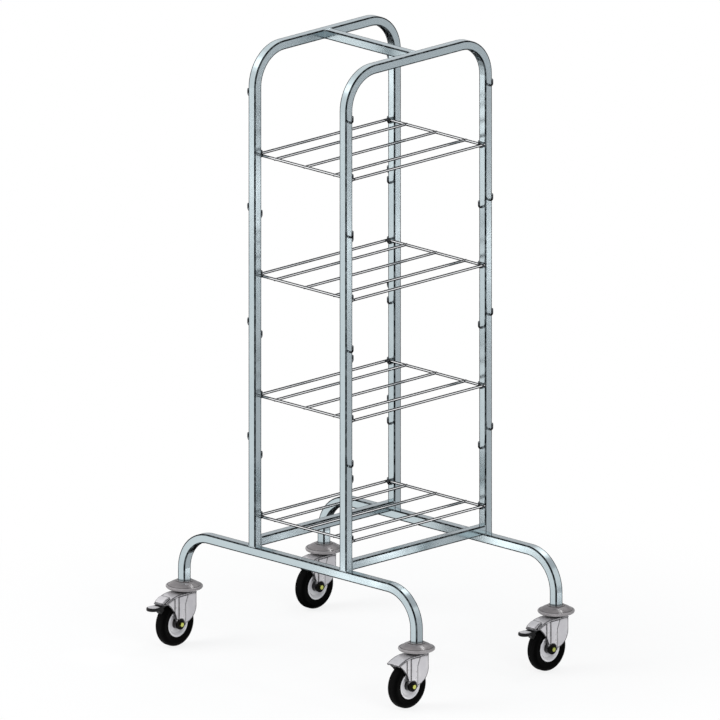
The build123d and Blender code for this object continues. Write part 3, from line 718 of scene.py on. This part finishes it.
# Tent, mat and cards: grey cloth and a grey mat behind on the right, white cards and black sheets.
# Only mirrored light shows them: the right faces and tops of the tubes mirror the grey, a card puts one
# soft glint on a leg, a rail or a bend, a black sheet darkens a bend, and a strip lights the bumpers.
tent_radius, tent_grey, mat_grey, veil_grey = 4.0, (203, 203, 205), (206, 206, 208), (226, 226, 228)
card_white, sheet_black = (255, 255, 255), (12, 12, 13)
tent_glow, halo_glow, card_glow, strip_glow = 1.9, 1.25, 3.2, 10.0
card_stand, halo_stand, prop_rise, strip_rise = 0.05, 0.03, 0.004, 4.2
tent_panels, tent_slots = ((25, 90, 0, 30), (20, 85, 30, 62), (135, 24, 0, 30)), ((46, 7, 0, 34),)
veil_panels = ((135, 24, 30, 47),)
tent_cards, tent_halos = ((97, 12, 44, 55), (219, 18, 47, 58)), ((98, 22, 37, 58), (215, 27, 40, 65))
mat_turn, mat_reach = math.radians(140.0), (0.45, 9.0)
strip = (0.36, 1.805, 2.9, 0.70, -23.7)
floor_mats = ((-0.10, 0.085, 0.56, 0.40, 0.0),)
floor_cards = (
    (3.00, 2.97, 0.30, 1.20, 45.0),
    (1.03, 0.735, 0.10, 0.17, 0.0),
    (0.69, 0.655, 0.06, 0.08, 0.0),
    (-0.53, -1.06, 0.15, 0.12, 0.0),
    (-0.51, -0.535, 0.15, 0.11, 0.0),
    (-3.85, -3.57, 0.60, 0.36, 0.0),
    (0.071, 0.234, 0.055, 0.055, 0.0),
    (0.071, 0.763, 0.055, 0.055, 0.0),
)
floor_blacks = (
    (-0.70, 0.10, 0.62, 0.44, 0.0),
    (-0.70, 0.63, 0.62, 0.44, 0.0),
    (-2.05, -0.98, 0.75, 0.45, 55.0),
    (-1.86, -0.475, 0.88, 0.55, 0.0),
    (-1.70, 0.55, 1.10, 1.50, 0.0),
    (-2.45, 2.15, 1.50, 1.70, 0.0),
)


def set_up(name, mesh, colour, glow=1.0):
    """A prop of the studio that shows only in mirrored light, at an even brightness."""
    data = bpy.data.meshes.new(name)
    mesh.to_mesh(data)
    mesh.free()
    prop = bpy.data.objects.new(name, data)
    bpy.context.scene.collection.objects.link(prop)
    prop.visible_camera = prop.visible_diffuse = prop.visible_shadow = False
    prop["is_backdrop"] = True
    cloth = bpy.data.materials.new(f"{name}_cloth")
    cloth.use_nodes = True
    tree = cloth.node_tree
    light = place_node(tree, "ShaderNodeEmission", {"Color": shade(colour), "Strength": glow})
    tree.links.new(light.outputs[0], tree.nodes["Material Output"].inputs["Surface"])
    data.materials.append(cloth)


def lay_down(mesh, sheets, rise):
    """Flat sheets at one height: middle, length, width and turn of each."""
    for x, y, length, width, turn in sheets:
        lie = Matrix.Translation((x, y, rise)) @ Matrix.Rotation(math.radians(turn), 4, "Z")
        bmesh.ops.create_grid(mesh, size=0.5, matrix=lie @ Matrix.Diagonal((length, width, 1.0, 1.0)))
    return mesh


def within(turn, rise, panels):
    """Whether a direction falls on one of some panels: azimuth, reach, lowest and highest angle."""
    return any(
        abs((turn - centre + 180.0) % 360.0 - 180.0) < reach and low < rise < high
        for centre, reach, low, high in panels
    )


def dome_part(radius, wanted, spared=()):
    """The part of a dome that falls on some panels and on none of the spared ones."""
    dome = bmesh.new()
    bmesh.ops.create_uvsphere(dome, u_segments=180, v_segments=90, radius=radius)
    loose = []
    for face in dome.faces:
        middle = face.calc_center_median().normalized()
        turn, rise = math.degrees(math.atan2(middle.y, middle.x)), math.degrees(math.asin(middle.z))
        if not within(turn, rise, wanted) or within(turn, rise, spared):
            loose.append(face)
    bmesh.ops.delete(dome, geom=loose, context="FACES")
    return dome


set_up("tent", dome_part(tent_radius, tent_panels, tent_slots), tent_grey)
set_up("veil", dome_part(tent_radius, veil_panels), veil_grey)
set_up("tent_cards", dome_part(tent_radius - card_stand, tent_cards), card_white, tent_glow)
set_up("tent_halos", dome_part(tent_radius - halo_stand, tent_halos), card_white, halo_glow)
mat = bmesh.new()
border = mat.edges.new([mat.verts.new((reach, 0.0, prop_rise)) for reach in mat_reach])
bmesh.ops.spin(mat, geom=[border], axis=(0.0, 0.0, 1.0), angle=mat_turn, steps=40)
set_up("mat", lay_down(mat, floor_mats, prop_rise), mat_grey)
set_up("blacks", lay_down(bmesh.new(), floor_blacks, 2 * prop_rise), sheet_black)
set_up("cards", lay_down(bmesh.new(), floor_cards, 2 * prop_rise), card_white, card_glow)
set_up("strip", lay_down(bmesh.new(), (strip,), strip_rise), card_white, strip_glow)

# Camera: a parallel view from the front right, 45 degrees round and 15.5 degrees above the floor,
# as the picture is drawn. It takes in 1.929 m across the 720 pixels of its frame.
view_turn, view_rise, view_width = math.radians(45.0), math.asin(0.268), 1.9293
view_right, view_up, view_far = -0.02747, 0.79046, 6.0
right = Vector((math.cos(view_turn), math.sin(view_turn), 0.0))
away = Vector((math.sin(view_turn), -math.cos(view_turn), 0.0))
back = away * math.cos(view_rise) + Vector((0.0, 0.0, math.sin(view_rise)))
up = back.cross(right)
lens = bpy.data.cameras.new("camera")
lens.type = "ORTHO"
lens.ortho_scale = view_width
camera = bpy.data.objects.new("camera", lens)
camera.location = right * view_right + up * view_up + back * view_far
camera.rotation_euler = back.to_track_quat("Z", "Y").to_euler()
bpy.context.scene.collection.objects.link(camera)
bpy.context.scene.camera = camera
bpy.context.scene.view_settings.view_transform = "Standard"

low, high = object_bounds()
